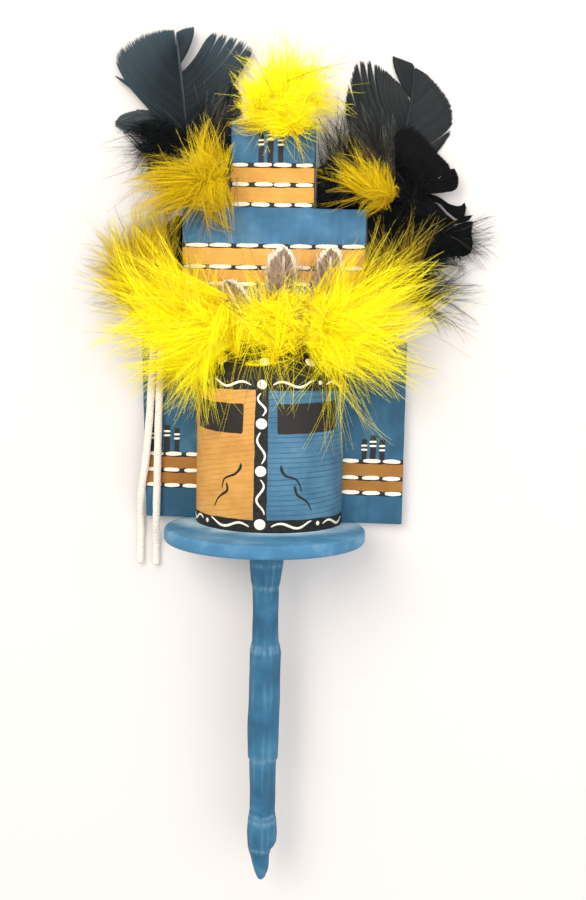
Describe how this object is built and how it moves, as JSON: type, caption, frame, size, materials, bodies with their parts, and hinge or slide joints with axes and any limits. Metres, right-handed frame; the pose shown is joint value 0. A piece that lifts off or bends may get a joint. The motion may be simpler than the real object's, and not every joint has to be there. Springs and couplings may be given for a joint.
{
  "type": "kachina doll",
  "caption": "Kachina mask on a wand: half-round painted case mask, stepped tableta board, chin disc, whittled handle, yellow marabou plumes, black feathers and hanging laces.",
  "frame": {"origin": "on the tableta's flat back, on the mask's centre line, 30 mm above the tableta's foot", "axes": "+Y from the handle's tip towards the tableta's top, +Z out of the face, +X to the viewer's right; the piece lies on its back"},
  "size_m": [0.1575, 0.3531, 0.0626],
  "materials": {
    "board_blue": "thin matte blue stain-like paint over straight grain",
    "mask_paint": "matte blue and orange halves, black bands with white brush marks",
    "disc_blue": "matte blue paint, slightly dusty",
    "handle_blue": "whittled flats under matte blue paint",
    "yellow_marabou": "soft dyed down",
    "gold_marabou": "soft dyed down",
    "black_feather": "black vane with a faint blue-grey sheen",
    "barred_feather": "brown down with a cream band",
    "white_lace": "sueded"
  },
  "bodies": {
    "root": {"tableta": "board_blue", "case_mask": "mask_paint", "chin_disc": "disc_blue", "wand_handle": "handle_blue", "crown_plume": "yellow_marabou", "left_upper_plume": "gold_marabou", "right_upper_plume": "gold_marabou", "left_side_plume": "yellow_marabou", "brow_plume": "yellow_marabou", "right_side_plume": "yellow_marabou", "black_feather_left_1": "black_feather", "black_feather_left_2": "black_feather", "black_feather_left_3": "black_feather", "black_feather_right_1": "black_feather", "black_feather_right_2": "black_feather", "black_feather_right_3": "black_feather", "barred_feather_1": "barred_feather", "barred_feather_2": "barred_feather", "barred_feather_3": "barred_feather", "lace_left": "white_lace", "lace_right": "white_lace"}
  },
  "joints": []
}
